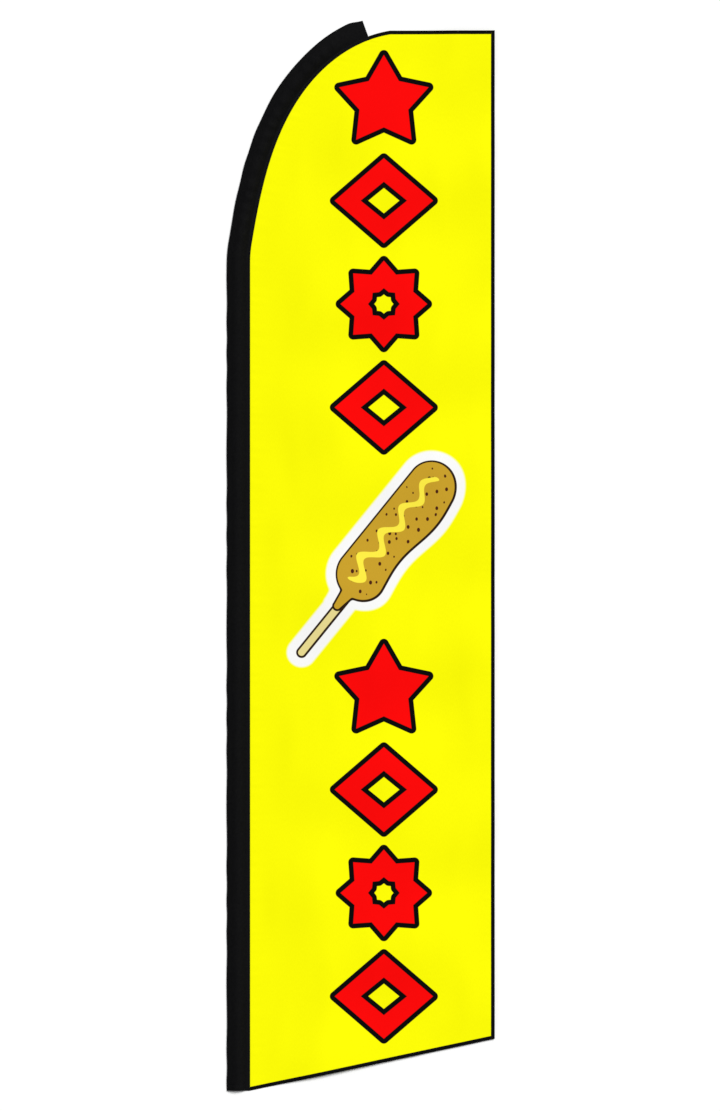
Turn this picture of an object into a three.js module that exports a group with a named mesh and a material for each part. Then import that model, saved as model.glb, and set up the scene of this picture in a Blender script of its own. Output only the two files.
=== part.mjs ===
// A feather banner of dyed polyester, lying flat with its printed face up and its pole taken out.
// A tall panel of knitted cloth has a black pole sleeve folded round its straight-then-bowed edge,
// and a black binding folded over its head, its free (fly) edge and its slanting foot.
//
// Millimetres, +X from the sleeve to the fly edge, +Y from the foot to the head, +Z up off the
// floor. The drawing's zero is the foot of the seam, where the sleeve meets the panel, and the
// group at the end moves the middle of the whole banner over the origin.

import * as THREE from 'three';

// Driving dimensions
const SLEEVE_WIDTH = 76;
const TIP_WIDTH = 67;            // of the sleeve at its tip
const SEAM_STRAIGHT = 2712;      // from the foot up to where the pole starts to bow
const SEAM_BOW = 943;            // length of the bowed stretch, up to the head
const BOW_START = 9.2;           // degrees that the bow turns by over its first stretch
const BOW_EASE = 60;             // length of that stretch
const BOW_TURN = 80.8;           // degrees that it has turned by when it meets the head
const BOW_POWER = 2.11;          // how late the rest comes: it grows as (share of the bow) ^ this
const SLEEVE_BOW = 872;          // how much of the bow the sleeve covers
const FLY_X = 801;               // outer edge of the fly binding
const FOOT_RISE = 170;           // how far the foot climbs from the seam to the fly edge
const BINDING_WIDTH = 12;

// Cloth
const CLOTH = 0.8;               // panel
const TAPE = 0.6;                // binding
const OXFORD = 0.8;              // sleeve
const GAP = 0.3;                 // between two layers of cloth
const TUCK = 10;                 // how far the panel runs into the sleeve's seam and the binding

// The sleeve's section: the lower layer lies flat and the upper one is puffed
const SEAM_WIDTH = 12;           // where both layers are sewn to the panel
const FOLD_RADIUS = 3.5;
const SHUT_RADIUS = OXFORD + GAP / 2;      // of the fold where the tip is sewn shut
const ARCH = 11;                 // how far the upper layer stands over a straight line
const ARCH_STEPS = 8;
const FOLD_STEPS = 4;
const TIP_TAPER = 200;           // the sleeve flattens over this length, up to its tip
const TIP_CUT = 43;              // and is cut narrower over this one
const PUFF = [0.92, 0.08, 870];  // its puff: middle, swing and the length of one swing

// Soft waves in the panel: [share of the height, waves per mm along X, along Y, phase in turns]
const WAVE_HEIGHT = 14;
const WAVE_MIDDLE = 0.5;
const FLAT_REACH = 30;           // the cloth lies flat this far from the seam
const FADE_REACH = 260;          // and has its full waves from here on
const WAVES = [
  [0.25, 1 / 1400, 1 / 520, 0],
  [0.15, -1 / 900, 1 / 310, 0.3],
  [0.1, 1 / 420, 1 / 1900, 0.6],
];

// Steps
const SLEEVE_STEPS = 60;
const HEAD_STEPS = 2;            // from the sleeve's tip to the head
const PANEL_COLUMNS = 13;
const INTEGRATION_STEP = 5;

// Worked out from these
const FOOT_SLOPE = FOOT_RISE / FLY_X;
const FOOT_STRETCH = Math.hypot(1, FOOT_SLOPE);       // upright length per mm square to the foot
const FLY_INNER = FLY_X - BINDING_WIDTH;
const SEAM_LENGTH = SEAM_STRAIGHT + SEAM_BOW;
const SLEEVE_LENGTH = SEAM_STRAIGHT + SLEEVE_BOW;
const SEAM_THICK = 2 * OXFORD + 2 * GAP + CLOTH;
const CLOTH_LEVEL = SEAM_THICK / 2;                   // of the panel's middle where it lies flat

const UP = new THREE.Vector3(0, 0, 1);
const blend = (a, b, t) => a + (b - a) * t;
const range = count => Array.from({ length: count + 1 }, (_, i) => i);
const shifted = (point, direction, distance) => point.clone().addScaledVector(direction, distance);

// How far the seam's direction has turned from +Y, in radians, at a length s up the seam.
function seamTurn(s) {
  const bowed = Math.max(0, s - SEAM_STRAIGHT);
  const first = BOW_START * Math.min(1, bowed / BOW_EASE);
  const rest = (BOW_TURN - BOW_START) * (bowed / SEAM_BOW) ** BOW_POWER;
  return THREE.MathUtils.degToRad(first + rest);
}

// The seam at length s: its point, and the unit vector square to it that points into the sleeve.
function seamAt(s) {
  const point = new THREE.Vector3(0, Math.min(s, SEAM_STRAIGHT), 0);
  const bowed = Math.max(0, s - SEAM_STRAIGHT);
  const steps = Math.max(1, Math.ceil(bowed / INTEGRATION_STEP));
  for (let i = 0; i < steps; i += 1) {
    const turn = seamTurn(SEAM_STRAIGHT + bowed * (i + 0.5) / steps);
    point.x += Math.sin(turn) * bowed / steps;
    point.y += Math.cos(turn) * bowed / steps;
  }
  const turn = seamTurn(s);
  return { point, outward: new THREE.Vector3(-Math.cos(turn), Math.sin(turn), 0) };
}

// Height of the panel's middle layer. In a plan point, z holds the reach: the length of cloth
// between that point and the seam, because the cloth is held flat at the seam.
function settle(plan) {
  const fade = THREE.MathUtils.smoothstep(plan.z, FLAT_REACH, FADE_REACH);
  let share = WAVE_MIDDLE;
  for (const [part, alongX, alongY, phase] of WAVES) {
    share += part * Math.sin(2 * Math.PI * (plan.x * alongX + plan.y * alongY + phase));
  }
  return new THREE.Vector3(plan.x, plan.y, CLOTH_LEVEL + WAVE_HEIGHT * fade * share);
}

// One layer of cloth as a closed solid. The two grids of points, [station][point], are its two
// faces, split into triangles alike, and four strips close the edges between them.
function ply(faceA, faceB) {
  const positions = [];
  const quad = (a, b, c, d) => {
    for (const corner of [a, b, c, a, c, d]) positions.push(corner.x, corner.y, corner.z);
  };
  const lastRow = faceA.length - 1;
  const lastPoint = faceA[0].length - 1;
  for (let r = 0; r < lastRow; r += 1) {
    for (let p = 0; p < lastPoint; p += 1) {
      quad(faceA[r][p], faceA[r][p + 1], faceA[r + 1][p + 1], faceA[r + 1][p]);
      quad(faceB[r][p], faceB[r + 1][p], faceB[r + 1][p + 1], faceB[r][p + 1]);
    }
    quad(faceA[r + 1][0], faceB[r + 1][0], faceB[r][0], faceA[r][0]);
    quad(faceA[r][lastPoint], faceB[r][lastPoint], faceB[r + 1][lastPoint], faceA[r + 1][lastPoint]);
  }
  for (let p = 0; p < lastPoint; p += 1) {
    quad(faceA[0][p], faceB[0][p], faceB[0][p + 1], faceA[0][p + 1]);
    quad(faceA[lastRow][p + 1], faceB[lastRow][p + 1], faceB[lastRow][p], faceA[lastRow][p]);
  }
  const geometry = new THREE.BufferGeometry();
  geometry.setAttribute('position', new THREE.Float32BufferAttribute(positions, 3));
  geometry.computeVertexNormals();
  return geometry;
}

// ---- Panel ----------------------------------------------------------------------------------

// Lengths up the seam where a row of the panel starts. The first row is the foot binding's inner
// edge, whose outer edge meets the sleeve's square end at the seam. The last one is the head
// binding's, and the sleeve has a station at each row of the bow.
const footInner = BINDING_WIDTH * FOOT_STRETCH;
const sleeveStations = range(SLEEVE_STEPS).map(i => SLEEVE_LENGTH * i / SLEEVE_STEPS);
const headStations = range(HEAD_STEPS).slice(1).map(i => blend(SLEEVE_LENGTH, SEAM_LENGTH, i / HEAD_STEPS));
const rowStarts = [footInner, ...sleeveStations.filter(s => s > footInner), ...headStations];

const headInner = seamAt(SEAM_LENGTH).point.y;
const flyFoot = footInner + FLY_INNER * FOOT_SLOPE;

// A row of plan points runs straight from the seam to the fly binding's inner edge.
function panelRow(s) {
  const { point, outward } = seamAt(s);
  const flyY = blend(flyFoot, headInner, (s - footInner) / (SEAM_LENGTH - footInner));
  const end = new THREE.Vector3(FLY_INNER, flyY, 0);
  end.z = end.distanceTo(point);
  const row = range(PANEL_COLUMNS).map(i => point.clone().lerp(end, i / PANEL_COLUMNS));
  const along = new THREE.Vector3(1, (end.y - point.y) / (end.x - point.x), 1);
  return { row, outward, along };
}
const rows = rowStarts.map(panelRow);
const footRow = rows[0].row;
const headRow = rows.at(-1).row;

// Steps of one millimetre square to an edge, out over the binding. A binding's end is cut along
// its neighbour, so these are longer than 1 where that cut is slanted.
const footOut = new THREE.Vector3(0, -FOOT_STRETCH, 0);
const headOut = new THREE.Vector3(0, 1, 0);
const cornerOut = rows.at(-1).outward.clone().add(headOut);
cornerOut.multiplyScalar(2 / cornerOut.lengthSq());

function panel() {
  const plan = rows.map(({ row, outward, along }) => [
    shifted(row[0], outward, TUCK), ...row, shifted(row.at(-1), along, TUCK)]);
  const foot = plan[0].map(point => shifted(point, footOut, TUCK));
  const head = plan.at(-1).map(point => shifted(point, headOut, TUCK));
  head[0] = shifted(headRow[0], cornerOut, TUCK);
  const middle = [foot, ...plan, head].map(row => row.map(settle));
  const face = side => middle.map(row => row.map(point => shifted(point, UP, side * CLOTH / 2)));
  return ply(face(1), face(-1));
}

// ---- Pole sleeve ----------------------------------------------------------------------------

// One face of the sleeve's section at length s, as [distance from the seam, height], from the
// lower layer's sewn edge round the fold to the upper layer's. inset is 0 for the outer face, and
// the cloth's thickness for the inner one. The puff falls to 0 where the tip is sewn shut.
function sleeveSection(s, inset) {
  const open = THREE.MathUtils.smoothstep(SLEEVE_LENGTH - s, 0, TIP_TAPER);
  const uncut = THREE.MathUtils.smoothstep(SLEEVE_LENGTH - s, 0, TIP_CUT);
  const [middle, swing, length] = PUFF;
  const puff = open * (middle + swing * Math.sin(2 * Math.PI * s / length));
  const radius = blend(SHUT_RADIUS, FOLD_RADIUS, puff);
  const foldAt = blend(TIP_WIDTH, SLEEVE_WIDTH, uncut) - radius;
  const fold = range(FOLD_STEPS).map(i => {
    const angle = Math.PI * i / FOLD_STEPS;
    return [foldAt + (radius - inset) * Math.sin(angle), radius - (radius - inset) * Math.cos(angle)];
  });
  const arch = range(ARCH_STEPS).slice(1).map(i => {
    const t = i / ARCH_STEPS;
    const height = blend(2 * radius, SEAM_THICK, t) + ARCH * puff * Math.sin(Math.PI * t);
    return [blend(foldAt, SEAM_WIDTH, t), height - inset];
  });
  return [[0, inset], ...fold, ...arch, [0, SEAM_THICK - inset]];
}

function poleSleeve() {
  const face = inset => sleeveStations.map(s => {
    const { point, outward } = seamAt(s);
    return sleeveSection(s, inset).map(([distance, height]) => {
      const place = shifted(point, outward, distance);
      place.z = height;
      return place;
    });
  });
  return ply(face(0), face(OXFORD));
}

// ---- Bindings -------------------------------------------------------------------------------

// A tape folded over the panel's edge. Each station has a plan point on the tape's inner edge and
// the step of one millimetre out over the tape. Its middle layer is flat across the tape.
function binding(stations) {
  const half = CLOTH / 2 + GAP;
  const outside = [[0, half + TAPE], [BINDING_WIDTH, half + TAPE],
    [BINDING_WIDTH, -half - TAPE], [0, -half - TAPE]];
  const inside = [[0, half], [TUCK + GAP, half], [TUCK + GAP, -half], [0, -half]];
  const face = section => stations.map(({ point, out }) => {
    const inner = settle(point);
    const tucked = settle(shifted(point, out, TUCK));
    return section.map(([distance, height]) => {
      const place = inner.clone().lerp(tucked, distance / TUCK);
      place.z += height;
      return place;
    });
  });
  return ply(face(outside), face(inside));
}

function flyBinding() {
  const footEnd = shifted(footRow.at(-1), footOut, BINDING_WIDTH);
  const headEnd = shifted(headRow.at(-1), headOut, BINDING_WIDTH);
  return binding([
    { point: footEnd, out: rows[0].along },
    ...rows.map(({ row, along }) => ({ point: row.at(-1), out: along })),
    { point: headEnd, out: rows.at(-1).along },
  ]);
}

// The foot binding runs from the fly binding back to the sleeve.
function footBinding() {
  const first = footRow[0].clone().lerp(footRow[1], GAP * PANEL_COLUMNS / FLY_INNER);
  const last = footRow.at(-1).clone().lerp(footRow.at(-2), GAP * PANEL_COLUMNS / FLY_INNER);
  const points = [first, ...footRow.slice(1, -1), last];
  return binding(points.map(point => ({ point, out: footOut })));
}

// The head binding starts at the sleeve's tip, follows the last of the bow, and runs along the
// head to the fly binding.
function headBinding() {
  const start = panelRow(SLEEVE_LENGTH + GAP);
  const bowed = headStations.slice(0, -1).map(panelRow);
  const last = headRow.at(-1).clone();
  last.x -= GAP;
  return binding([
    { point: last, out: headOut },
    ...headRow.slice(1, -1).reverse().map(point => ({ point, out: headOut })),
    { point: headRow[0], out: cornerOut },
    ...[...bowed.reverse(), start].map(({ row, outward }) => ({ point: row[0], out: outward })),
  ]);
}

// ---- The banner -----------------------------------------------------------------------------

const materials = {
  knit: () => new THREE.MeshStandardMaterial({ color: '#ffef00', roughness: 0.85, metalness: 0 }),
  oxford: () => new THREE.MeshStandardMaterial({ color: '#0b0b0c', roughness: 0.8, metalness: 0 }),
  tape: () => new THREE.MeshStandardMaterial({ color: '#101012', roughness: 0.85, metalness: 0 }),
};

function piece(name, geometry, material) {
  const mesh = new THREE.Mesh(geometry, material);
  mesh.name = name;
  return mesh;
}

const tip = seamAt(SLEEVE_LENGTH);
const tipCorner = shifted(tip.point, tip.outward, TIP_WIDTH);

const banner = new THREE.Group();
banner.add(
  piece('panel', panel(), materials.knit()),
  piece('pole_sleeve', poleSleeve(), materials.oxford()),
  piece('head_binding', headBinding(), materials.tape()),
  piece('fly_binding', flyBinding(), materials.tape()),
  piece('foot_binding', footBinding(), materials.tape()),
);
banner.position.set(-(FLY_X - SLEEVE_WIDTH) / 2, -tipCorner.y / 2, 0);

export default banner;
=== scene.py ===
"""A feather banner of dyed polyester, lying flat on a pale floor with its printed face up.

It is dressed in the order in which it is sewn: the printed panel, the pole sleeve folded round
its bowed edge, the tape folded over its other edges, and the thread that holds them together.
"""
import bpy
import numpy as np
from math import cos, hypot, pi, radians, sin
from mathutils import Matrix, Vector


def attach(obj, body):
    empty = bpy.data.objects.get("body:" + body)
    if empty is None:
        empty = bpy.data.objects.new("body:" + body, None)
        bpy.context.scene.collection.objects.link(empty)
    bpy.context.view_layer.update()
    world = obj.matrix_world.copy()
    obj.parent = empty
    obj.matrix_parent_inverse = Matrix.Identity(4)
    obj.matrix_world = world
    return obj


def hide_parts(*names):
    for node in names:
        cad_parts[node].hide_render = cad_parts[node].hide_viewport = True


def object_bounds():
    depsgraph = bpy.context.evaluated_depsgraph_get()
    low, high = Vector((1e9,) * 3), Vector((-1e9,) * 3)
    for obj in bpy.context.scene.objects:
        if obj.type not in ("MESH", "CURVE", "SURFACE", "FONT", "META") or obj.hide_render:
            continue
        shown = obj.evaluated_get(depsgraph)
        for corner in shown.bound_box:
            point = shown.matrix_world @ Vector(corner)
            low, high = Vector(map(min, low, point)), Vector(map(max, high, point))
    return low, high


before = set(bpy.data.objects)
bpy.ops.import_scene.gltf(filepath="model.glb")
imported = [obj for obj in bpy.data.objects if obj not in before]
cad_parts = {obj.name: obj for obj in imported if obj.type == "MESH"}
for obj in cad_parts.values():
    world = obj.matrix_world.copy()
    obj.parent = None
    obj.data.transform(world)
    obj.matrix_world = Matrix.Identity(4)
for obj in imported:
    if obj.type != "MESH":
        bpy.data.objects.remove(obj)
cad_box = [list(corner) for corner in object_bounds()]


# ---- Panel: the cloth ------------------------------------------------------------------------
# One length of knitted polyester, cut along the seam line of the pole sleeve. It lies on the
# floor in soft waves with fine creases between them, and gathers a little at every seam.

# Sizes are millimetres on a plan, whose zero is the foot of the seam. X runs towards the free
# edge, called the fly, and Y towards the head.
MM = 0.001
SLEEVE_WIDTH = 76.0
SEAM_STRAIGHT = 2712.0
SEAM_BOW = 943.0
SEAM_LENGTH = SEAM_STRAIGHT + SEAM_BOW
SEAM_STEPS = 8000
BOW_START = radians(9.2)
BOW_EASE = 60.0
BOW_TURN = radians(80.8)
BOW_POWER = 2.11
BINDING_WIDTH = 12.0
FLY_X = 801.0
FLY_INNER = FLY_X - BINDING_WIDTH
FOOT_RISE = 170.0
FOOT_SLOPE = FOOT_RISE / FLY_X
FOOT_STRETCH = hypot(1, FOOT_SLOPE)
FOOT_INNER = BINDING_WIDTH * FOOT_STRETCH
FLY_FOOT = FOOT_INNER + FLY_INNER * FOOT_SLOPE
TUCK = 10.0
CLOTH = 0.8
SEAM_THICK = 3.0
CLOTH_LEVEL = SEAM_THICK / 2

# The frame's zero is the middle of the banner. This is where it lies in the plan.
MIDDLE = np.array([-cad_box[0][0] / MM - SLEEVE_WIDTH, -cad_box[0][1] / MM, 0.0])


def seam_line():
    """Length, X, Y and turn up the seam. Its direction leaves +Y evenly by BOW_START over the
    first BOW_EASE of the bow, and by the rest of BOW_TURN times the share of the bow to the
    power BOW_POWER. A point is the sum of the short steps before it."""
    s = np.linspace(0, SEAM_LENGTH, SEAM_STEPS + 1)
    bowed = np.maximum(0, s - SEAM_STRAIGHT)
    turn = BOW_START * np.minimum(1, bowed / BOW_EASE)
    turn += (BOW_TURN - BOW_START) * (bowed / SEAM_BOW) ** BOW_POWER
    middle = (turn[1:] + turn[:-1]) / 2
    x, y = (np.concatenate([[0], np.cumsum(way(middle) * np.diff(s))]) for way in (np.sin, np.cos))
    return s, x, y, turn


SEAM_S, SEAM_X, SEAM_Y, SEAM_TURN = seam_line()
HEAD_INNER = SEAM_Y[-1]


def seam_at(s):
    """X and Y of the seam at lengths s, and the unit vector square to it, into the sleeve."""
    x, y, turn = (np.interp(s, SEAM_S, column) for column in (SEAM_X, SEAM_Y, SEAM_TURN))
    return x, y, -np.cos(turn), np.sin(turn)


def head_corner():
    """Step from the corner of seam and head to where lines one millimetre outside the two cross:
    the sum of their outward unit vectors, times 2 over the square of its length."""
    _, _, out_x, out_y = seam_at(SEAM_LENGTH)
    share = 2 / (out_x ** 2 + (out_y + 1) ** 2)
    return share * out_x, share * (out_y + 1)


def row_at(s):
    """Start of a row of the panel at lengths s up the seam, and its slope and length: it runs
    straight to the fly binding, and all rows divide that edge alike."""
    x, y, _, _ = seam_at(s)
    fly = FLY_FOOT + (HEAD_INNER - FLY_FOOT) * (s - FOOT_INNER) / (SEAM_LENGTH - FOOT_INNER)
    return x, y, (fly - y) / (FLY_INNER - x), np.hypot(FLY_INNER - x, fly - y)


def smooth(value, low, high):
    """0 below low, 1 above high, and 3t^2 - 2t^3 between them."""
    t = np.clip((value - low) / (high - low), 0, 1)
    return t * t * (3 - 2 * t)


# Each wave has a share of the height, its turns in a millimetre of X and of Y, and a phase. It
# grows to its full height between two distances from the seam.
WAVE_HEIGHT = 14.0
WAVE_REACH = (30, 260)
WAVES = [(0.25, 1 / 1400, 1 / 520, 0.0),
         (0.15, -1 / 900, 1 / 310, 0.3),
         (0.10, 1 / 420, 1 / 1900, 0.6)]


def waves(x, y):
    """Half plus a sum of long sines across the plan: from 0 to 1."""
    parts = (part * np.sin(2 * pi * (x * ax + y * ay + phase)) for part, ax, ay, phase in WAVES)
    return 0.5 + sum(parts)


# Each set of creases has a share of the height, a direction, the distance between two ridges, and
# how far and how often they bend.
CREASE_HEIGHT = 5.0
CREASE_REACH = (0, 120)
CREASE_POWER = 4
CREASE_FADE = (1.7, 0.31)
CREASES = [(0.45, radians(66), 240, 42, 1150),
           (0.30, radians(112), 330, 60, 1500),
           (0.25, radians(88), 150, 26, 800)]


def creases(x, y):
    """Long soft ridges, from 0 to 1, in sets that cross. A ridge is a sine to the power
    CREASE_POWER. It bends by a sine along it, whose phase is the set's own, and grows and fades
    CREASE_FADE times in the length of a bend and in the distance between two ridges."""
    total = 0
    for share, way, apart, bend, length in CREASES:
        along = x * cos(way) + y * sin(way)
        across = y * cos(way) - x * sin(way) + bend * np.sin(2 * pi * along / length + apart)
        fade = along / length * CREASE_FADE[0] + across / apart * CREASE_FADE[1]
        strength = 0.5 + 0.5 * np.sin(2 * pi * fade)
        total = total + share * strength * np.sin(pi * across / apart) ** CREASE_POWER
    return total


# Gathers have the pitch, swing and drift of an uneven sine, and are smaller by up to twice
# PUCKER_LULL once in PUCKER_GROUP. They are weaker at the tapes than at the sleeve's seam.
PUCKER_HEIGHT = 1.3
PUCKER_BEAT = (34, 2.1, 171)
PUCKER_GROUP = 123.0
PUCKER_LULL = 0.4
PUCKER_RISE = 6.0
SEAM_FADE = 28.0
TAPE_FADE = 16.0
FLY_PUCKER = 0.6
END_PUCKER = 0.5


def uneven(along, pitch, swing, drift):
    """A sine along a seam, from -1 to 1. Its phase is swung by a slower sine, of length drift."""
    return np.sin(2 * pi * along / pitch + swing * np.sin(2 * pi * along / drift))


def puckers(along, away, fade):
    """Gathers beside a seam, from 0 to 1: an uneven beat along it in groups, which rises over the
    first few millimetres away from it and dies out over the fade length."""
    beat = 0.5 + 0.5 * uneven(along, *PUCKER_BEAT)
    size = 1 - PUCKER_LULL + PUCKER_LULL * np.sin(2 * pi * along / PUCKER_GROUP + 1)
    away = np.maximum(away, 0)
    return beat * size * (1 - np.exp(-away / PUCKER_RISE)) * np.exp(-away / fade)


def settle(x, y, s, reach):
    """Height of the panel's middle layer, at a reach from the seam along the row at s."""
    height = CLOTH_LEVEL + WAVE_HEIGHT * smooth(reach, *WAVE_REACH) * waves(x, y)
    height += CREASE_HEIGHT * smooth(reach, *CREASE_REACH) * creases(x, y)
    from_foot = (y - FOOT_INNER - x * FOOT_SLOPE) / FOOT_STRETCH
    gathers = puckers(s, reach, SEAM_FADE) + FLY_PUCKER * puckers(y, FLY_INNER - x, TAPE_FADE)
    gathers += END_PUCKER * puckers(x, from_foot, TAPE_FADE)
    gathers += END_PUCKER * puckers(x, HEAD_INNER - y, TAPE_FADE)
    return height + PUCKER_HEIGHT * gathers


SHARP_EDGE = radians(50)


def new_piece(name, points, quads):
    """A smooth piece from plan points in millimetres [n, 3] and quads [m, 4], which are turned
    round if the space inside them comes out negative."""
    places = (points - MIDDLE) * MM
    a, b, c, d = (places[quads[:, corner]] for corner in range(4))
    if np.sum(a * np.cross(b, c)) + np.sum(a * np.cross(c, d)) < 0:
        quads = quads[:, ::-1]
    mesh = bpy.data.meshes.new(name)
    mesh.vertices.add(len(places))
    mesh.vertices.foreach_set("co", places.ravel())
    mesh.loops.add(quads.size)
    mesh.loops.foreach_set("vertex_index", quads.ravel())
    mesh.polygons.add(len(quads))
    mesh.polygons.foreach_set("loop_start", np.arange(0, quads.size, 4))
    mesh.polygons.foreach_set("use_smooth", np.ones(len(quads), bool))
    mesh.update(calc_edges=True)
    mesh.set_sharp_from_angle(angle=SHARP_EDGE)
    piece = bpy.data.objects.new(name, mesh)
    bpy.context.scene.collection.objects.link(piece)
    return piece


def set_uv(piece, name, u, v):
    """Adds a UV map from the values at every face corner."""
    layer = piece.data.uv_layers.new(name=name)
    layer.uv.foreach_set("vector", np.stack([u, v], -1).astype(np.float32).ravel())


def cloth(name, face_a, face_b, across, along, folds=1):
    """A layer of cloth from its two faces [station, point, 3], closed round its edges. across and
    along are its flat measures in millimetres [station, point], kept in metres as the UV map
    "weave". The map "OFBake" lays one face beside the other, or with folds of 2 both faces on
    top of each other, and the upper half of the cloth beside the lower."""
    rows, columns = face_a.shape[:2]
    a = np.arange(rows * columns).reshape(rows, columns)
    b = a + rows * columns
    faces = [np.stack([a[:-1, :-1], a[:-1, 1:], a[1:, 1:], a[1:, :-1]], -1),
             np.stack([b[:-1, :-1], b[1:, :-1], b[1:, 1:], b[:-1, 1:]], -1)]
    rims = [(a[:, 0], b[:, 0]), (a[-1], b[-1]), (a[::-1, -1], b[::-1, -1]), (a[0, ::-1], b[0, ::-1])]
    faces += [np.stack([p[1:], q[1:], q[:-1], p[:-1]], -1) for p, q in rims]
    quads = np.concatenate([face.reshape(-1, 4) for face in faces])
    piece = new_piece(name, np.concatenate([face_a.reshape(-1, 3), face_b.reshape(-1, 3)]), quads)
    corner = np.empty(len(piece.data.loops), int)
    piece.data.loops.foreach_get("vertex_index", corner)
    spot = corner % (rows * columns)
    flat_u, flat_v = (np.broadcast_to(flat, (rows, columns)).ravel() for flat in (across, along))
    set_uv(piece, "weave", flat_u[spot] * MM, flat_v[spot] * MM)
    share_u, share_v = spot % columns / (columns - 1), spot // columns / (rows - 1)
    side = corner >= rows * columns
    if folds == 2:
        side = np.repeat(share_v.reshape(-1, 4).mean(1) > 0.5, 4)
        share_v = 2 * share_v - side
    set_uv(piece, "OFBake", (share_u + side) / 2, share_v)
    return piece


ROWS = 521
ROW_POINTS = 89
ROW_CROWDING = 0.35


def panel_cloth():
    """Rows 7 mm apart up the seam, with points along each that stand closer near its two ends.
    A further line all round is tucked under the sleeve and the bindings."""
    s = np.linspace(FOOT_INNER, SEAM_LENGTH, ROWS)[:, None]
    share = np.linspace(0, 1, ROW_POINTS)[None, :]
    share = share - ROW_CROWDING * np.sin(2 * pi * share) / (2 * pi)
    x0, y0, slope, length = row_at(s)
    _, _, out_x, out_y = seam_at(s)
    run = share * (FLY_INNER - x0)
    end = FLY_INNER + TUCK - x0
    x = np.concatenate([x0 + TUCK * out_x, x0 + run, x0 + end], axis=1)
    y = np.concatenate([y0 + TUCK * out_y, y0 + run * slope, y0 + end * slope], axis=1)
    reach = np.concatenate([0 * s, share * length, length + TUCK], axis=1)
    x, y, reach, s = (np.concatenate([line[:1], line, line[-1:]]) for line in (x, y, reach, s))
    y[0] -= TUCK * FOOT_STRETCH
    y[-1, 1:] += TUCK
    corner_x, corner_y = head_corner()
    x[-1, 0] = x0[-1, 0] + TUCK * corner_x
    y[-1, 0] = y0[-1, 0] + TUCK * corner_y
    z = settle(x, y, s, reach)
    top, under = (np.stack([x, y, z + side * CLOTH / 2], -1) for side in (1, -1))
    return cloth("panel_cloth", top, under, reach, s, folds=2)


panel = panel_cloth()
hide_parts("panel")
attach(panel, "root")


# ---- Panel: the print ------------------------------------------------------------------------
# Disperse dye, pressed into the white knit until it shows on both faces: a yellow ground, two
# columns of red ornaments outlined in black, and between them a corn dog with a white rim.

GROUND = "#FFFE00"
RED = "#FD0303"
BLACK = "#050505"
RIM = "#FCFCFA"
BATTER = "#CAA12B"
SPECK = "#4C2012"
MUSTARD = "#FFEE45"
STICK = "#EBDC92"
LINE = "#2B1B0E"
DYE_EDGE = 0.7


def linear(colour):
    """An sRGB hex value as linear red, green, blue and alpha."""
    parts = [int(colour[at:at + 2], 16) / 255 for at in (1, 3, 5)]
    return [p / 12.92 if p <= 0.04045 else ((p + 0.055) / 1.055) ** 2.4 for p in parts] + [1.0]


def add(tree, kind, *values, out=None, **settings):
    """Adds a shader node with its settings and returns its output named out, or its first one.
    Its inputs take the values in order: a socket is linked, and anything but None is set."""
    made = tree.nodes.new("ShaderNode" + kind)
    for name, value in settings.items():
        setattr(made, name, value)
    for socket, value in zip([s for s in made.inputs if s.enabled], values):
        if isinstance(value, bpy.types.NodeSocket):
            tree.links.new(value, socket)
        elif value is not None:
            socket.default_value = value
    return made.outputs[out] if out else next(s for s in made.outputs if s.enabled)


TEXTILE_IOR = 1.5
SHEEN_ROUGHNESS = 0.5


def new_textile(name, roughness, sheen, gloss):
    """A dielectric material with a fibre's sheen. Its colour and relief are linked later."""
    material = bpy.data.materials.new(name)
    material.use_nodes = True
    shader = material.node_tree.nodes["Principled BSDF"]
    shader.inputs["Roughness"].default_value = roughness
    shader.inputs["IOR"].default_value = TEXTILE_IOR
    shader.inputs["Specular IOR Level"].default_value = gloss
    shader.inputs["Sheen Weight"].default_value = sheen
    shader.inputs["Sheen Roughness"].default_value = SHEEN_ROUGHNESS
    return material, material.node_tree, shader


def star(tree, place, points, tip, notch):
    """Distance in millimetres from a star's edge, negative inside it. The angle from +Y is folded
    into half a point, where the edge is one straight line from a tip to a notch."""
    half = pi / points
    edge = np.array([notch * cos(half) - tip, notch * sin(half), 0.0])
    x = add(tree, "SeparateXYZ", place)
    angle = add(tree, "Math", x, x.node.outputs["Y"], operation="ARCTAN2")
    angle = add(tree, "Math", angle, half, operation="PINGPONG")
    cosine, sine = (add(tree, "Math", angle, operation=way) for way in ("COSINE", "SINE"))
    radius = add(tree, "VectorMath", place, operation="LENGTH")
    folded = add(tree, "VectorMath", add(tree, "CombineXYZ", cosine, sine), radius, operation="SCALE")
    from_tip = add(tree, "VectorMath", folded, (tip, 0, 0), operation="SUBTRACT")
    share = add(tree, "VectorMath", from_tip, tuple(edge / (edge @ edge)), operation="DOT_PRODUCT")
    nearest = add(tree, "VectorMath", tuple(edge), add(tree, "Clamp", share, 0, 1), operation="SCALE")
    distance = add(tree, "VectorMath", from_tip, nearest, operation="DISTANCE")
    side = add(tree, "VectorMath", from_tip, (edge[1], -edge[0], 0), operation="DOT_PRODUCT")
    return add(tree, "Math", distance, add(tree, "Math", side, operation="SIGN"), operation="MULTIPLY")


def stroke(tree, x, y, low, high):
    """Distance from a line that runs up the figure's axis between two heights."""
    past = add(tree, "Math", y, add(tree, "Clamp", y, low, high), operation="SUBTRACT")
    return add(tree, "VectorMath", add(tree, "CombineXYZ", x, past), operation="LENGTH")


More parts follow.
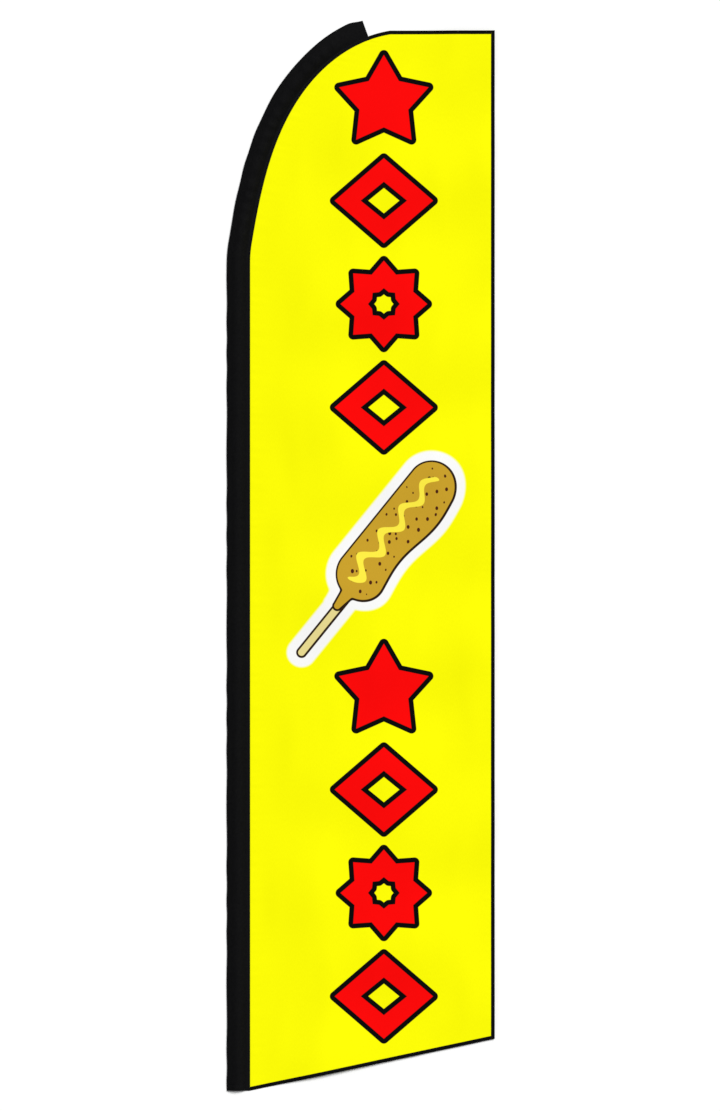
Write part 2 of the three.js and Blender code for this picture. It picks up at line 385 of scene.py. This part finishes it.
def paint(tree, under, colour, distance, edge=0.0, soft=DYE_EDGE):
    """A colour laid over what is under it where the distance is less than edge. Dye creeps along
    the threads, so the change takes twice the soft width."""
    there = add(tree, "MapRange", distance, edge - soft, edge + soft, 1, 0,
                interpolation_type="SMOOTHSTEP")
    return add(tree, "Mix", there, under, linear(colour), data_type="RGBA")


# Each ornament is a star, and most have a smaller star cut out of them: points, tip and notch of
# both. A star of two points is a diamond. They stand in two columns of four.
ORNAMENTS = [((5, 154, 84), None), ((2, 139, 161), (2, 62, 76)),
             ((8, 142, 104), (8, 52, 42)), ((2, 139, 161), (2, 62, 76))]
COLUMN_X = 438.0
COLUMN_Y = (817.0, 2745.0)
PITCH = 338.5
OUTLINE = 16.0


def ornaments(tree, place):
    """Distance from the nearest ornament's edge. WRAP lays the upper column over the lower one.
    A star with an odd number of points is lowered, to reach as far above its place as below."""
    x = add(tree, "SeparateXYZ", place)
    apart = COLUMN_Y[1] - COLUMN_Y[0]
    y = add(tree, "Math", x.node.outputs["Y"], COLUMN_Y[0], operation="SUBTRACT")
    y = add(tree, "Math", y, apart / 2, -apart / 2, operation="WRAP")
    x = add(tree, "Math", x, COLUMN_X, operation="SUBTRACT")
    column = add(tree, "CombineXYZ", x, y)
    nearest = None
    for order, (outer, hole) in enumerate(ORNAMENTS):
        height = ((len(ORNAMENTS) - 1) / 2 - order) * PITCH
        points, tip, _ = outer
        if points % 2:
            height -= tip * (1 - cos(pi / points)) / 2
        there = add(tree, "VectorMath", column, (0, height, 0), operation="SUBTRACT")
        shape = star(tree, there, *outer)
        if hole:
            cut = add(tree, "Math", star(tree, there, *hole), -1, operation="MULTIPLY")
            shape = add(tree, "Math", shape, cut, operation="MAXIMUM")
        nearest = add(tree, "Math", nearest, shape, operation="MINIMUM") if nearest else shape
    return nearest


# The corn dog is drawn on its own axis, which leans from the end of its stick. A span is two
# heights up that axis, and a side is a distance to the right of it.
FIGURE_FOOT = (163.5, 1429.0)
FIGURE_TURN = radians(39)
STICK_SPAN = (8, 246)
STICK_RADIUS = 14.0
BATTER_SPAN = (334, 702)
BATTER_SIDE = -10.0
BATTER_RADIUS = 82.0
SWAY = 5.0
SWAY_LENGTH = 340.0
SWAY_TOP = 610.0
RUN_SPAN = (200, 300)
RUN_SIDE = -5.0
RUN_RADIUS = (13, 30)
RUN_BLEND = 10.0


def batter_edge(tree, x, y):
    """Distance from the edge of the batter. Its middle and its radius sway alike, by a cosine, so
    that one side has a waist and one is straight. A run of it tapers down the stick."""
    rate = 2 * pi / SWAY_LENGTH
    sway = add(tree, "Math", y, rate, -rate * SWAY_TOP, operation="MULTIPLY_ADD")
    sway = add(tree, "Math", add(tree, "Math", sway, operation="COSINE"), SWAY, operation="MULTIPLY")
    middle = add(tree, "Math", sway, BATTER_SIDE, operation="ADD")
    radius = add(tree, "Math", sway, BATTER_RADIUS, operation="ADD")
    beside = add(tree, "Math", x, middle, operation="SUBTRACT")
    bulk = add(tree, "Math", stroke(tree, beside, y, *BATTER_SPAN), radius, operation="SUBTRACT")
    radius = add(tree, "MapRange", y, *RUN_SPAN, *RUN_RADIUS)
    beside = add(tree, "Math", x, RUN_SIDE, operation="SUBTRACT")
    run = add(tree, "Math", stroke(tree, beside, y, *RUN_SPAN), radius, operation="SUBTRACT")
    return add(tree, "Math", bulk, run, RUN_BLEND, operation="SMOOTH_MIN")


# A speck's radius is between two values, by chance. It is multiplied by a size, which falls while
# the distance from the edge of the batter goes through SPECK_ROOM.
SPECK_CELL = 36.0
SPECK_SQUEEZE = 0.15
SPECK_SCATTER = 0.75
SPECK_RADIUS = (2.8, 6.4)
SPECK_ROOM = (-22, -10)
SPECK_SIZE = (1, -0.5)


def speck_edge(tree, place, batter):
    """Distance from the edge of the nearest speck. Specks stand in cells a little taller than
    wide, and shrink away near the edge of the batter."""
    across, up = (1 + SPECK_SQUEEZE) / SPECK_CELL, (1 - SPECK_SQUEEZE) / SPECK_CELL
    cell = add(tree, "VectorMath", place, (across, up, 0), operation="MULTIPLY")
    cell = add(tree, "TexVoronoi", cell, 1.0, None, None, None, SPECK_SCATTER,
               voronoi_dimensions="2D")
    chance = add(tree, "SeparateXYZ", cell.node.outputs["Color"])
    radius = add(tree, "MapRange", chance, 0, 1, *SPECK_RADIUS)
    size = add(tree, "MapRange", batter, *SPECK_ROOM, *SPECK_SIZE)
    radius = add(tree, "Math", radius, size, operation="MULTIPLY")
    middle = add(tree, "Math", cell, SPECK_CELL, operation="MULTIPLY")
    return add(tree, "Math", middle, radius, operation="SUBTRACT")


MUSTARD_SPAN = (302, 726)
MUSTARD_SIDE = -24.0
MUSTARD_BEAT = 105.0
MUSTARD_PHASE = 1.15
MUSTARD_TAPER = (300, 730)
MUSTARD_SWING = (25, 15)
MUSTARD_RADIUS = (10.5, 6.5)
MUSTARD_LEAN = 0.66


def mustard_edge(tree, x, y):
    """Distance from the edge of the mustard: a sine up the batter that gets narrower and thinner.
    It is measured to the side, times MUSTARD_LEAN because the line mostly leans."""
    turn = add(tree, "Math", y, 2 * pi / MUSTARD_BEAT, MUSTARD_PHASE, operation="MULTIPLY_ADD")
    swing, radius = (add(tree, "MapRange", y, *MUSTARD_TAPER, *ends)
                     for ends in (MUSTARD_SWING, MUSTARD_RADIUS))
    swing = add(tree, "Math", add(tree, "Math", turn, operation="SINE"), swing, operation="MULTIPLY")
    middle = add(tree, "Math", swing, MUSTARD_SIDE, operation="ADD")
    beside = add(tree, "Math", x, middle, operation="SUBTRACT")
    beside = add(tree, "Math", beside, MUSTARD_LEAN, operation="MULTIPLY")
    return add(tree, "Math", stroke(tree, beside, y, *MUSTARD_SPAN), radius, operation="SUBTRACT")


LINE_HALF = 2.8
LINE_SWELL = 2.4
SWELL_SIDES = (-70, 50)
RIM_WIDTH = 34.0
RIM_SOFT = 4.5


def corn_dog(tree, place, colour):
    """Paints the white rim, the stick, the batter round it, its brown specks and the mustard. The
    outline is heavier on the right, as in shade."""
    away = add(tree, "VectorMath", place, (*FIGURE_FOOT, 0), operation="SUBTRACT")
    across, up = (cos(FIGURE_TURN), -sin(FIGURE_TURN), 0), (sin(FIGURE_TURN), cos(FIGURE_TURN), 0)
    x, y = (add(tree, "VectorMath", away, way, operation="DOT_PRODUCT") for way in (across, up))
    stick = add(tree, "Math", stroke(tree, x, y, *STICK_SPAN), STICK_RADIUS, operation="SUBTRACT")
    batter = batter_edge(tree, x, y)
    whole = add(tree, "Math", batter, stick, operation="MINIMUM")
    colour = paint(tree, colour, RIM, whole, RIM_WIDTH, RIM_SOFT)
    swell = add(tree, "MapRange", x, *SWELL_SIDES, 0, LINE_SWELL)
    for shape, fill in ((stick, STICK), (batter, BATTER)):
        outline = add(tree, "Math", shape, swell, operation="SUBTRACT")
        colour = paint(tree, colour, LINE, outline, LINE_HALF)
        colour = paint(tree, colour, fill, shape, -LINE_HALF)
    colour = paint(tree, colour, SPECK, speck_edge(tree, place, batter))
    return paint(tree, colour, MUSTARD, mustard_edge(tree, x, y))


# Knit: matt, with upright wales of V-shaped loops. Real wales are 1.2 mm wide, and are drawn 3 mm
# wide so that they show. They wander where the cloth has been stretched, the yarn is uneven, and
# so is the dye, over about 150 mm. Each pattern darkens the dye by its shade at the most. The
# loops' darkening is painted shade: it is deepest where their relief is low, at the wales' edges.
WALE = 3.0
COURSE = 2.2
WANDER = 9.0
CLOUD = 150.0
YARN_LENGTH = 10.0
YARN_DETAIL = 1.0
DETAIL = 2.0
LOOP_SWING = 0.4
LOOP_PAINTED_SHADE = 0.045
YARN_SHADE = 0.035
CLOUD_SHADE = 0.015
NOISE_SPAN = (0.25, 0.75)
LOOP_RELIEF = 0.4
KNIT_BUMP = 0.5
KNIT_DEPTH = 0.35

knit, dye, shader = new_textile("dyed polyester knit", roughness=0.82, sheen=0.03, gloss=0.05)
place = add(dye, "TexCoord", out="Object")
place = add(dye, "VectorMath", place, (1 / MM, 1 / MM, 0), tuple(MIDDLE), operation="MULTIPLY_ADD")
ornament = ornaments(dye, place)
colour = paint(dye, linear(GROUND), BLACK, ornament, OUTLINE)
colour = paint(dye, colour, RED, ornament)
colour = corn_dog(dye, place, colour)
cloudy = add(dye, "TexNoise", place, 1 / CLOUD, DETAIL)
yarn = add(dye, "VectorMath", place, (1 / WALE, 1 / YARN_LENGTH, 1), operation="MULTIPLY")
yarn = add(dye, "TexNoise", yarn, 1.0, YARN_DETAIL)
wander = add(dye, "VectorMath", (WANDER, WANDER, 0), cloudy, operation="SCALE")
wales = add(dye, "VectorMath", place, wander, operation="ADD")
wales = add(dye, "VectorMath", wales, (1 / WALE, 1 / COURSE, 0), operation="MULTIPLY")
wales = add(dye, "SeparateXYZ", wales)
# A loop's two legs lean from the edges of its wale down to the middle, over half a course, and
# are thicker there.
inward = add(dye, "Math", wales, 0.5, operation="PINGPONG")
loops = add(dye, "Math", inward, wales.node.outputs["Y"], operation="ADD")
loops = add(dye, "Math", add(dye, "Math", loops, 2 * pi, operation="MULTIPLY"), operation="SINE")
loops = add(dye, "Math", loops, LOOP_SWING, 2 - LOOP_SWING, operation="MULTIPLY_ADD")
loops = add(dye, "Math", loops, inward, operation="MULTIPLY")
# Painted shade: the loops darken the colour in the low parts of their relief, between the wales.
shades = [(loops, (0, 1), LOOP_PAINTED_SHADE)]
shades += [(yarn, NOISE_SPAN, YARN_SHADE), (cloudy, NOISE_SPAN, CLOUD_SHADE)]
for pattern, span, shade in shades:
    share = add(dye, "MapRange", pattern, *span, 1 - shade, 1)
    colour = add(dye, "Mix", 1.0, colour, share, data_type="RGBA", blend_type="MULTIPLY")
relief = add(dye, "Math", loops, LOOP_RELIEF, yarn, operation="MULTIPLY_ADD")
dye.links.new(colour, shader.inputs["Base Color"])
dye.links.new(add(dye, "Bump", KNIT_BUMP, KNIT_DEPTH * MM, None, relief), shader.inputs["Normal"])
panel.data.materials.append(knit)


# ---- Pole sleeve -----------------------------------------------------------------------------
# A strip of black oxford polyester, folded in half for the pole and sewn to the panel along both
# its edges. The pole is out, so it lies slack. Its foot is hemmed and open, its tip sewn flat.

SLEEVE_BOW = 872.0
SLEEVE_LENGTH = SEAM_STRAIGHT + SLEEVE_BOW
OXFORD = 0.8
GAP = 0.3
SEAM_WIDTH = 12.0

# The slack upper layer has gathers, drag lines that grow between two lengths from the start of
# the bow, and loose waves, so long up the seam and out from it. Lines and waves rise between the
# stitches and their inner distance from the seam, and fade over the outer one before the fold.
SLEEVE_FADE = 20.0
DRAG_HEIGHT = 2.2
DRAG_BEAT = (47, 1.9, 263)
DRAG_START = (-100, 250)
DRAG_INNER = 26.0
DRAG_OUTER = 40.0
LOOSE_HEIGHT = 0.6
LOOSE_WAVES = ((236, 120), (143, -95))
LOOSE_INNER = 30.0
LOOSE_OUTER = 20.0


def crumple(s, distance, edge):
    """Relief of the slack upper layer at a distance from the seam and from the fold's edge:
    gathers that start at the stitches, drag lines square to the seam where it bows and the inner
    edge is too long, and a loose unevenness, which is a sum of slanting sines."""
    gathers = PUCKER_HEIGHT * puckers(s, distance - SEAM_WIDTH, SLEEVE_FADE)
    bowed = smooth(s - SEAM_STRAIGHT, *DRAG_START)
    drag = DRAG_HEIGHT * bowed * (0.5 + 0.5 * uneven(s, *DRAG_BEAT))
    drag = drag * smooth(distance, SEAM_WIDTH, DRAG_INNER) * smooth(edge, 0, DRAG_OUTER)
    loose = sum(np.sin(2 * pi * (s / up + distance / out)) for up, out in LOOSE_WAVES)
    loose = LOOSE_HEIGHT * (1 + loose / 2)
    loose = loose * smooth(distance, SEAM_WIDTH, LOOSE_INNER) * smooth(edge, 0, LOOSE_OUTER)
    return gathers + drag + loose


# The fold is nearly round and wavers a little, and the arch over it is puffed up unevenly. Both
# go flat over the taper to the tip, whose corner is cut off. The hem is one more layer inside.
FOLD_RADIUS = 3.5
FOLD_WAVER = 0.7
FOLD_BEAT = (148, 2, 610)
SHUT_RADIUS = OXFORD + GAP / 2
ARCH = 11.0
PUFF_SWING = 0.08
PUFF_LENGTH = 870.0
TIP_WIDTH = 67.0
TIP_TAPER = 200.0
TIP_CUT = 43.0
SEWN_EASE = 6.0
SEWN_LIFT = 0.2
HEM = 20.0
HEM_STEP = 1.0
HEM_EASE = 4.0

# Points along the lower layer, closer to each other at the seam, round the fold, over the arch
# and along the sewn edge.
LOWER_POINTS = 14
LOWER_CROWDING = 1.3
FOLD_POINTS = 13
ARCH_POINTS = 32
EDGE_POINTS = 4


def sleeve_section(s, inset):
    """Distance from the seam and height round the section at lengths s [station, point]: the flat
    lower layer, the half circle of the fold, the arch of the upper layer, and the edge that is
    sewn down. inset is 0 for the outer face, and the cloth's thickness for the inner one."""
    still_open, uncut = (smooth(SLEEVE_LENGTH - s, 0, length) for length in (TIP_TAPER, TIP_CUT))
    puff = still_open * (1 - PUFF_SWING + PUFF_SWING * np.sin(2 * pi * s / PUFF_LENGTH))
    radius = SHUT_RADIUS + (FOLD_RADIUS - SHUT_RADIUS) * puff
    fold_at = TIP_WIDTH + (SLEEVE_WIDTH - TIP_WIDTH) * uncut - radius
    fold_at = fold_at + FOLD_WAVER * still_open * uneven(s, *FOLD_BEAT)
    hem = OXFORD * (inset > 0) * (1 - smooth(s, HEM - HEM_STEP, HEM + HEM_STEP))

    share = np.linspace(0, 1, LOWER_POINTS + 1)[None, :-1]
    lower = share ** LOWER_CROWDING * fold_at
    sewn = 1 - smooth(lower, SEAM_WIDTH, SEAM_WIDTH + SEWN_EASE)
    lower_height = inset + hem * (1 - sewn) + SEWN_LIFT * sewn

    angle = np.linspace(0, pi, FOLD_POINTS)[None, :]
    wall = radius - inset - hem
    fold = fold_at + wall * np.sin(angle)
    fold_height = radius - wall * np.cos(angle)

    t = np.linspace(0, 1, ARCH_POINTS + 1)[None, 1:]
    arch = fold_at + (SEAM_WIDTH - fold_at) * t
    arch_height = 2 * radius + (SEAM_THICK - 2 * radius) * t + ARCH * puff * np.sin(pi * t)
    arch_height = arch_height + still_open * crumple(s, arch, fold_at - arch)
    arch_height = arch_height - inset - hem * smooth(arch, SEAM_WIDTH, SEAM_WIDTH + HEM_EASE)

    edge = np.linspace(SEAM_WIDTH, 0, EDGE_POINTS + 1)[None, 1:] + 0 * s
    edge_height = SEAM_THICK - inset + 0 * edge
    distance = np.concatenate([lower, fold, arch, edge], axis=1)
    return distance, np.concatenate([lower_height, fold_height, arch_height, edge_height], axis=1)


def sleeve_face(s, inset):
    """Points of one face of the sleeve at lengths s, each section square to the seam."""
    x, y, out_x, out_y = seam_at(s)
    distance, height = sleeve_section(s, inset)
    return np.stack([x + out_x * distance, y + out_y * distance, height], -1)


def measure(line):
    """Length along a line of points up to each of them."""
    return np.concatenate([[0], np.cumsum(np.linalg.norm(np.diff(line, axis=0), axis=1))])


SECTIONS = 600
MEASURED_SECTION = 250


def sleeve_cloth():
    """Sections 6 mm apart from the foot to the tip. The strip's width is measured round one of
    them in the straight stretch."""
    s = np.linspace(0, SLEEVE_LENGTH, SECTIONS)[:, None]
    outer, inner = (sleeve_face(s, inset) for inset in (0, OXFORD))
    return cloth("sleeve_cloth", outer, inner, measure(outer[MEASURED_SECTION])[None, :], s)


sleeve = sleeve_cloth()
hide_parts("pole_sleeve")
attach(sleeve, "root")

# Oxford: a plain weave with a dull gloss. Two real threads take 1 mm, and are drawn 2.4 mm wide
# so that they show. They follow the sleeve round its bow, on the weave's UV map, and wander by up
# to THREAD_WANDER as slubs in the yarn push them aside.
THREAD_PAIR = 2.4
THREAD_WANDER = 1.0
SLUB = 9.0
SLUB_SPAN = (0.3, 0.7)
OXFORD_BLACKS = ("#030304", "#080809")
OXFORD_BUMP = 0.6
OXFORD_DEPTH = 0.3

oxford, dye, shader = new_textile("black oxford polyester", roughness=0.6, sheen=0.03, gloss=0.06)
flat = add(dye, "UVMap", uv_map="weave")
flat = add(dye, "VectorMath", flat, (1 / MM, 1 / MM, 0), operation="MULTIPLY")
slub = add(dye, "TexNoise", flat, 1 / SLUB, DETAIL)
bent = add(dye, "VectorMath", (THREAD_WANDER, THREAD_WANDER, 0), slub, operation="SCALE")
bent = add(dye, "VectorMath", flat, bent, operation="ADD")
turn = add(dye, "VectorMath", bent, (2 * pi / THREAD_PAIR,) * 3, operation="MULTIPLY")
turn = add(dye, "SeparateXYZ", turn)
weft, warp = (add(dye, "Math", way, operation="SINE") for way in (turn, turn.node.outputs["Y"]))
weave = add(dye, "Math", weft, warp, operation="MULTIPLY")
share = add(dye, "MapRange", slub, *SLUB_SPAN, 0, 1)
colour = add(dye, "Mix", share, *map(linear, OXFORD_BLACKS), data_type="RGBA")
dye.links.new(colour, shader.inputs["Base Color"])
dye.links.new(add(dye, "Bump", OXFORD_BUMP, OXFORD_DEPTH * MM, None, weave), shader.inputs["Normal"])
sleeve.data.materials.append(oxford)


# ---- Bindings --------------------------------------------------------------------------------
# Black woven tape, folded lengthwise over the cut edges of the panel and sewn through. The foot
# and head tapes run up to the fly tape, and the head one follows the last of the bow.

TAPE = 0.6
HALF_OUTSIDE = CLOTH / 2 + GAP + TAPE
TAPE_FOLD_POINTS = 9
TAPE_FLAT_POINTS = 4


def tape_section(half):
    """Distance from the tape's inner edge and height round a tape folded over the cloth: flat,
    half a circle round the fold, and flat again."""
    turn = np.linspace(pi / 2, -pi / 2, TAPE_FOLD_POINTS)
    centre = BINDING_WIDTH - HALF_OUTSIDE
    flat = np.linspace(0, centre, TAPE_FLAT_POINTS + 1)[:-1]
    distance = np.concatenate([flat, centre + half * np.cos(turn), flat[::-1]])
    return distance, np.concatenate([half + 0 * flat, half * np.sin(turn), -half + 0 * flat])


def tape_face(edge, distance, height):
    """Points at distances out over the tape and heights off its middle layer, for an edge given
    as X, Y, row, reach, and the X and Y of the step of one millimetre out, at each station."""
    x, y, s, reach, out_x, out_y = (line[:, None] for line in edge)
    low = settle(x, y, s, reach)
    high = settle(x + TUCK * out_x, y + TUCK * out_y, s, reach)
    z = low + (high - low) * distance / TUCK + height
    return np.stack([x + out_x * distance, y + out_y * distance, z], -1)


def folded_tape(name, edge):
    """The tape along an edge, with its stations where the edge has its own."""
    distance, height = tape_section(HALF_OUTSIDE)
    outside = tape_face(edge, distance, height)
    inside = tape_face(edge, *tape_section(HALF_OUTSIDE - TAPE))
    across = measure(np.stack([distance, height], -1))
    return cloth(name, outside, inside, across[None, :], measure(outside[:, 0])[:, None])


# Stations along each edge, about 6 or 7 mm apart.
FLY_STATIONS = 480
FOOT_STATIONS = 115
HEAD_STATIONS = 60
BOW_STATIONS = 12


def fly_edge():
    """Up the fly edge, and past both its ends to the outer edges of the other two tapes."""
    s = np.linspace(FOOT_INNER, SEAM_LENGTH, FLY_STATIONS)
    x0, y0, slope, reach = row_at(s)
    y = y0 + (FLY_INNER - x0) * slope
    s, slope, reach = (np.concatenate([line[:1], line, line[-1:]]) for line in (s, slope, reach))
    y = np.concatenate([[y[0] - BINDING_WIDTH * FOOT_STRETCH], y, [y[-1] + BINDING_WIDTH]])
    return 0 * s + FLY_INNER, y, s, reach, 0 * s + 1, slope


def foot_edge():
    """Along the foot from the sleeve to the fly tape."""
    x = np.linspace(GAP, FLY_INNER - GAP, FOOT_STATIONS)
    flat = 0 * x
    return x, FOOT_INNER + x * FOOT_SLOPE, flat + FOOT_INNER, x * FOOT_STRETCH, flat, flat - FOOT_STRETCH


def head_edge():
    """From the fly tape back along the head, round the corner and down the bow to the sleeve."""
    x = np.linspace(FLY_INNER - GAP, SEAM_X[-1], HEAD_STATIONS)
    flat = 0 * x
    head = np.stack([x, flat + HEAD_INNER, flat + SEAM_LENGTH, x - SEAM_X[-1], flat, flat + 1])
    head[4:, -1] = head_corner()
    s = np.linspace(SEAM_LENGTH, SLEEVE_LENGTH + GAP, BOW_STATIONS)[1:]
    x, y, out_x, out_y = seam_at(s)
    return np.concatenate([head, np.stack([x, y, s, 0 * s, out_x, out_y])], axis=1)


# Twill tape: fine ribs lean across it, under a trace of lint. Real ribs come every millimetre
# along it, and are drawn every 2 mm so that they show.
RIB = 2.0
LINT = 14.0
LINT_SPAN = (0.3, 0.7)
TAPE_BLACKS = ("#030303", "#080808")
TAPE_BUMP = 0.6
TAPE_DEPTH = 0.2

twill, dye, shader = new_textile("black twill tape", roughness=0.7, sheen=0.025, gloss=0.05)
flat = add(dye, "UVMap", uv_map="weave")
ribs = add(dye, "VectorMath", flat, (1 / (RIB * MM), 1 / (RIB * MM), 0), operation="DOT_PRODUCT")
ribs = add(dye, "Math", add(dye, "Math", ribs, 2 * pi, operation="MULTIPLY"), operation="SINE")
lint = add(dye, "TexNoise", flat, 1 / (LINT * MM), DETAIL)
share = add(dye, "MapRange", lint, *LINT_SPAN, 0, 1)
colour = add(dye, "Mix", share, *map(linear, TAPE_BLACKS), data_type="RGBA")
dye.links.new(colour, shader.inputs["Base Color"])
dye.links.new(add(dye, "Bump", TAPE_BUMP, TAPE_DEPTH * MM, None, ribs), shader.inputs["Normal"])

edges = {"head": head_edge(), "fly": fly_edge(), "foot": foot_edge()}
for side, edge in edges.items():
    tape = folded_tape(side + "_tape", edge)
    tape.data.materials.append(twill)
    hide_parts(side + "_binding")
    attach(tape, "root")


# ---- Stitching -------------------------------------------------------------------------------
# Lockstitch in black polyester thread. Two rows run up the sleeve's edges and one along each tape,
# on both faces of the banner; one more runs round the hem, and two shut the tip.

STITCH_PITCH = 6.0
STITCH_HALF = np.array([2.3, 0.375, 0.195])
STITCH_DIP = 0.2

# A stitch narrows at its ends: shares of half its length, and of its thickness there.
STITCH_ALONG = np.array([-1, -0.6, 0.6, 1])
STITCH_THICK = np.array([0.4, 1, 1, 0.4])


def stitched(name, lines):
    """A stitch every STITCH_PITCH along each line of points. It is a bar with four sides whose
    ends dip into the cloth, which lies over the stitch where the line has up at -1."""
    ring = np.array([[1, 1], [-1, 1], [-1, -1], [1, -1]])
    shape = np.empty((len(STITCH_ALONG), len(ring), 3))
    shape[..., 0] = STITCH_ALONG[:, None]
    shape[..., 1:] = STITCH_THICK[:, None, None] * ring
    shape = shape * STITCH_HALF
    shape[[0, -1], :, 2] -= STITCH_DIP
    shape = shape.reshape(-1, 3)
    r = np.arange(len(shape)).reshape(-1, len(ring))
    sides = np.stack([r[:-1], r[1:], np.roll(r[1:], -1, 1), np.roll(r[:-1], -1, 1)], -1)
    faces = np.concatenate([sides.reshape(-1, 4), [r[0], r[-1, ::-1]]])
    points, quads, count = [], [], 0
    for line, up in lines:
        at = measure(line)
        middles = np.arange(STITCH_PITCH, at[-1] - STITCH_PITCH / 2, STITCH_PITCH)
        start, end = (np.stack([np.interp(middles + step, at, column) for column in line.T], -1)
                      for step in (-STITCH_HALF[0], STITCH_HALF[0]))
        forward = (end - start) / np.linalg.norm(end - start, axis=1)[:, None]
        across = np.cross([0, 0, up], forward)
        across /= np.linalg.norm(across, axis=1)[:, None]
        axes = np.stack([forward, across, np.cross(forward, across)], 1)
        points.append(((start + end) / 2)[:, None] + shape @ axes)
        quads.append(faces + (count + len(shape) * np.arange(len(middles)))[:, None, None])
        count += len(shape) * len(middles)
    points, quads = (np.concatenate([part.reshape(-1, part.shape[-1]) for part in parts])
                     for parts in (points, quads))
    return new_piece(name, points, quads)


# The rows are so far from the seam, from the sleeve's two ends and from the inner edge of a tape.
# They lie a hair proud of the sleeve, and a hair deep in the tape.
SEAM_ROWS = (3.5, 9.0)
SEAM_ROW_END = 4.0
SEAM_ROW_POINTS = 900
HEM_ROW = HEM - 4
TIP_ROWS = (SLEEVE_LENGTH - 12, SLEEVE_LENGTH - 5)
TAPE_ROW = 2.5
SEAM_ROW_LIFT = 0.05
CROSS_ROW_LIFT = 0.1
TAPE_ROW_SINK = 0.03


def seam_row(distance, height):
    """A line up the sleeve's sewn edge, at a distance from the seam."""
    s = np.linspace(SEAM_ROW_END, SLEEVE_LENGTH - SEAM_ROW_END, SEAM_ROW_POINTS)
    x, y, out_x, out_y = seam_at(s)
    return np.stack([x + out_x * distance, y + out_y * distance, 0 * x + height], -1)


def cross_row(s):
    """A line over the sleeve's upper layer, square to the seam, from the middle of the fold to
    the end of the arch."""
    start = LOWER_POINTS + FOLD_POINTS // 2
    end = LOWER_POINTS + FOLD_POINTS + ARCH_POINTS
    return sleeve_face(np.array([[s]]), 0)[0, start:end] + [0, 0, CROSS_ROW_LIFT]


sleeve_rows = [(cross_row(s), 1) for s in (HEM_ROW, *TIP_ROWS)]
for distance in SEAM_ROWS:
    sleeve_rows.append((seam_row(distance, SEAM_THICK + SEAM_ROW_LIFT), 1))
    sleeve_rows.append((seam_row(distance, SEWN_LIFT), -1))
tape_rows = [(tape_face(edge, TAPE_ROW, up * (HALF_OUTSIDE - TAPE_ROW_SINK))[:, 0], up)
             for edge in edges.values() for up in (1, -1)]

# Spun polyester thread: a little glossier than the cloth, and its fuzz makes the black uneven.
FUZZ = 8.0
THREAD_BLACKS = ("#060607", "#0E0E10")
thread, dye, shader = new_textile("black polyester thread", roughness=0.5, sheen=0.03, gloss=0.12)
fuzz = add(dye, "TexNoise", add(dye, "TexCoord", out="Object"), 1 / (FUZZ * MM), DETAIL)
colour = add(dye, "Mix", fuzz, *map(linear, THREAD_BLACKS), data_type="RGBA")
dye.links.new(colour, shader.inputs["Base Color"])

stitching = [stitched("sleeve_stitching", sleeve_rows), stitched("tape_stitching", tape_rows)]
for piece in stitching:
    piece.data.materials.append(thread)
    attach(piece, "root")


# ---- The cut cloth ---------------------------------------------------------------------------
# The panel is one sheet, laid down flat. Its cut area is what lies between the seam, the fly edge
# and the two ends, with the margin that is sewn in all round.

inner_area = np.sum((FLY_INNER - (SEAM_X[1:] + SEAM_X[:-1]) / 2) * np.diff(SEAM_Y))
inner_area -= FLY_INNER * FOOT_INNER + FLY_INNER ** 2 * FOOT_SLOPE / 2
flat = ((FLY_INNER + 2 * TUCK) * MM, (HEAD_INNER - FOOT_INNER + 2 * TUCK) * MM)


# ---- Floor, light and camera -----------------------------------------------------------------
# A matt, nearly white floor under a large soft lamp from the upper right, in a pale room. The
# camera looks straight down through a long lens.

# Backdrop paper: matt and even, with hardly any gloss. The floor and the picture are in metres.
FLOOR_HALF = 60.0
FLOOR_DROP = 0.3 * MM
PAPER_ROUGHNESS = 0.9
PAPER_GLOSS = 0.1
corners = [(x, y, -FLOOR_DROP) for x, y in ((-1, -1), (1, -1), (1, 1), (-1, 1))]
mesh = bpy.data.meshes.new("floor")
mesh.from_pydata([(x * FLOOR_HALF, y * FLOOR_HALF, z) for x, y, z in corners], [], [(0, 1, 2, 3)])
floor = bpy.data.objects.new("floor", mesh)
bpy.context.scene.collection.objects.link(floor)
paper = bpy.data.materials.new("white backdrop paper")
paper.use_nodes = True
shader = paper.node_tree.nodes["Principled BSDF"]
shader.inputs["Base Color"].default_value = linear("#FFFFFE")
shader.inputs["Roughness"].default_value = PAPER_ROUGHNESS
shader.inputs["Specular IOR Level"].default_value = PAPER_GLOSS
mesh.materials.append(paper)

SUN_HEIGHT = radians(56)
SUN_SIDE = radians(-40)
SUN_SPREAD = radians(30)
SUN_STRENGTH = 2.89
lamp = bpy.data.lights.new("softbox", "SUN")
lamp.energy = SUN_STRENGTH
lamp.angle = SUN_SPREAD
softbox = bpy.data.objects.new("softbox", lamp)
softbox.rotation_euler = (pi / 2 - SUN_HEIGHT, 0, pi + SUN_SIDE)
bpy.context.scene.collection.objects.link(softbox)

ROOM_STRENGTH = 0.28
room = bpy.data.worlds.new("pale room")
room.use_nodes = True
room.node_tree.nodes["Background"].inputs["Color"].default_value = linear("#FBFCFF")
room.node_tree.nodes["Background"].inputs["Strength"].default_value = ROOM_STRENGTH
bpy.context.scene.world = room
bpy.context.scene.view_settings.view_transform = "Standard"

# The camera is so far up that its picture takes in PICTURE_HEIGHT of the floor.
PICTURE_HEIGHT = 3.639
PICTURE_MIDDLE = (-0.0026, 0.0003)
LENS = 200.0
SENSOR = 36.0
CLIP_END = 200.0
lens = bpy.data.cameras.new("camera")
lens.lens = LENS
lens.sensor_width = SENSOR
lens.clip_end = CLIP_END
camera = bpy.data.objects.new("camera", lens)
camera.location = (*PICTURE_MIDDLE, PICTURE_HEIGHT * LENS / SENSOR)
bpy.context.scene.collection.objects.link(camera)
bpy.context.scene.camera = camera
